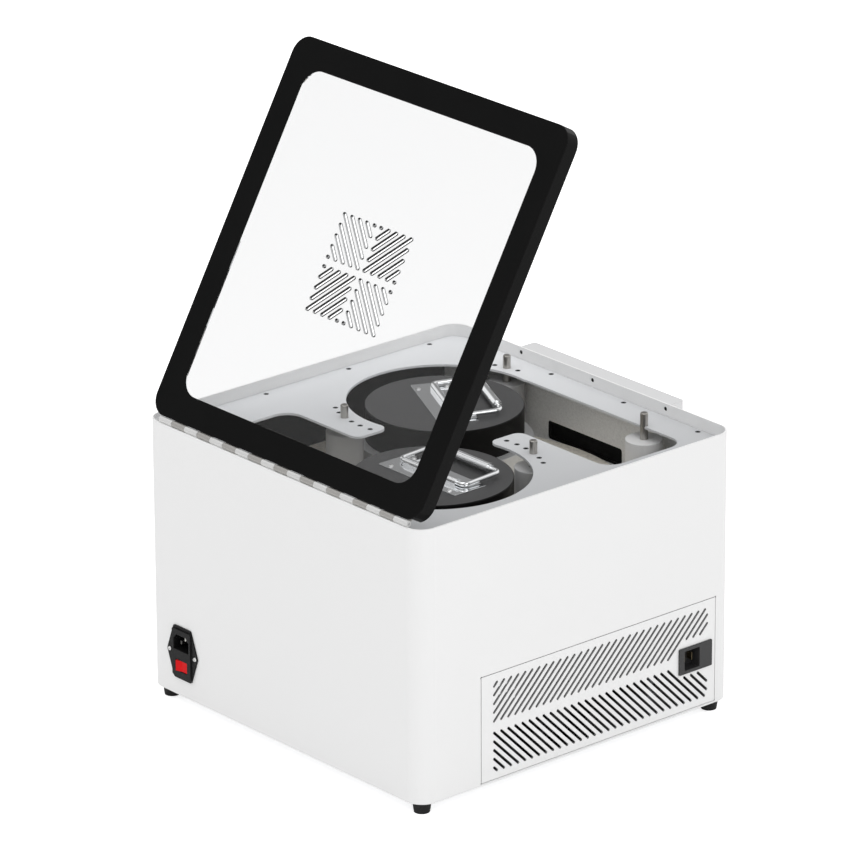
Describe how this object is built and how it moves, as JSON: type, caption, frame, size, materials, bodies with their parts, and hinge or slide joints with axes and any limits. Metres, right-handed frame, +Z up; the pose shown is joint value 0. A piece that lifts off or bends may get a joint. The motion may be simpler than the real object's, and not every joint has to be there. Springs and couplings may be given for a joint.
{
  "type": "dry block heater",
  "caption": "Bench dry block heater with a clear tilt-up lid, two covered heating blocks, a slotted side vent and a rear mains inlet.",
  "frame": {"origin": "middle of the cabinet's plan, on the plane of the feet", "axes": "+Z up, -Y towards the user and the control box, +Y towards the hinge and the mains inlet, -X towards the side with the vent panel"},
  "size_m": [0.4216, 0.443, 0.6609],
  "materials": {
    "cabinet_white": "fine powder coat",
    "zinc_sheet": "plain",
    "foot_black": "matt",
    "screw_steel": "plain",
    "screw_black": "blackened",
    "deck_silver": "satin",
    "liner_grey": "satin",
    "foam_black": "foam",
    "board_tan": "pressed fibre",
    "heater_orange": "silicone",
    "block_aluminium": "machined",
    "pillar_grey": "satin",
    "rod_steel": "turned",
    "cover_black": "fine grain",
    "stainless": "bright",
    "inlet_black": "moulded",
    "pin_metal": "plated",
    "rocker_red": "moulded",
    "contact_brass": "plain",
    "fan_black": "moulded",
    "board_green": "lacquered",
    "relay_white": "moulded",
    "housing_grey": "fine powder coat",
    "fascia_light": "satin",
    "display_dark": "polished",
    "key_grey": "satin",
    "key_green": "satin",
    "knuckle_light": "plain",
    "knuckle_dark": "plain",
    "lid_black": "satin black",
    "lid_clear": "clear"
  },
  "bodies": {
    "cabinet": {"cabinet_shell": "cabinet_white", "base_plate": "zinc_sheet", "feet": "foot_black", "foot_screws": "screw_steel", "deck_rails": "zinc_sheet", "deck_plate": "deck_silver", "deck_screws": "screw_black", "chamber_liner": "liner_grey", "chamber_floor": "liner_grey", "chamber_posts": "zinc_sheet", "wall_foam": "foam_black", "duct_foam": "foam_black", "insulation_disc": "board_tan", "heater_mats": "heater_orange", "heating_block_a": "block_aluminium", "heating_block_b": "block_aluminium", "temperature_probes": "screw_steel", "support_pillars": "pillar_grey", "locating_rods": "rod_steel", "inlet_body": "inlet_black", "inlet_pins": "pin_metal", "inlet_screws": "screw_steel", "vent_panel": "cabinet_white", "panel_nuts": "screw_steel", "side_socket": "inlet_black", "socket_contacts": "contact_brass", "fan_frame": "fan_black", "fan_bracket": "zinc_sheet", "power_supply": "zinc_sheet", "controller_board": "board_green", "board_standoffs": "contact_brass", "heater_relays": "relay_white", "control_housing": "housing_grey", "control_fascia": "fascia_light", "display_window": "display_dark", "key_board": "board_green", "rim_screws": "screw_black", "hinge_body_leaf": "knuckle_light", "hinge_pin": "screw_steel"},
    "lid": {"hinge_lid_leaf": "knuckle_dark", "lid_frame": "lid_black", "lid_window": "lid_clear", "lid_studs": "lid_black"},
    "cover_a": {"cover_a": "cover_black", "handle_plate_a": "stainless", "handle_screws_a": "screw_steel"},
    "cover_b": {"cover_b": "cover_black", "handle_plate_b": "stainless", "handle_screws_b": "screw_steel"},
    "bail_a": {"bail_a": "stainless", "bail_grip_a": "stainless"},
    "bail_b": {"bail_b": "stainless", "bail_grip_b": "stainless"},
    "rocker": {"inlet_rocker": "rocker_red"},
    "fan": {"fan_rotor": "fan_black"},
    "key_set": {"key_set": "key_grey"},
    "key_up": {"key_up": "key_grey"},
    "key_down": {"key_down": "key_grey"},
    "key_start": {"key_start": "key_green"}
  },
  "joints": [
    {"name": "lid_hinge", "type": "hinge", "parent": "cabinet", "child": "lid", "pos_m": [0, 0.20465, 0.3038], "axis": [1, 0, 0], "range_deg": [-25, 60.5]},
    {"name": "cover_a_lift", "type": "slide", "parent": "cabinet", "child": "cover_a", "axis": [0, 0, 1], "range_m": [0, 0.06]},
    {"name": "cover_b_lift", "type": "slide", "parent": "cabinet", "child": "cover_b", "axis": [0, 0, 1], "range_m": [0, 0.06]},
    {"name": "bail_a_hinge", "type": "hinge", "parent": "cover_a", "child": "bail_a", "pos_m": [0.0713, -0.0702, 0.2873], "axis": [-0.8988, 0.4384, 0], "range_deg": [0, 90]},
    {"name": "bail_b_hinge", "type": "hinge", "parent": "cover_b", "child": "bail_b", "pos_m": [-0.0713, 0.0702, 0.2873], "axis": [-1, 0, 0], "range_deg": [0, 90]},
    {"name": "rocker_tip", "type": "hinge", "parent": "cabinet", "child": "rocker", "pos_m": [0.154, 0.20575, 0.0472], "axis": [0, 0, 1], "range_deg": [-16, 0]},
    {"name": "fan_spin", "type": "hinge", "parent": "cabinet", "child": "fan", "pos_m": [-0.186, 0.01, 0.0592], "axis": [-1, 0, 0], "continuous": true},
    {"name": "key_set_press", "type": "slide", "parent": "cabinet", "child": "key_set", "axis": [0, 1, 0], "range_m": [0, 0.0012], "stiffness_N_per_m": 600, "springref_m": -0.001},
    {"name": "key_up_press", "type": "slide", "parent": "cabinet", "child": "key_up", "axis": [0, 1, 0], "range_m": [0, 0.0012], "stiffness_N_per_m": 600, "springref_m": -0.001},
    {"name": "key_down_press", "type": "slide", "parent": "cabinet", "child": "key_down", "axis": [0, 1, 0], "range_m": [0, 0.0012], "stiffness_N_per_m": 600, "springref_m": -0.001},
    {"name": "key_start_press", "type": "slide", "parent": "cabinet", "child": "key_start", "axis": [0, 1, 0], "range_m": [0, 0.0012], "stiffness_N_per_m": 600, "springref_m": -0.001}
  ]
}
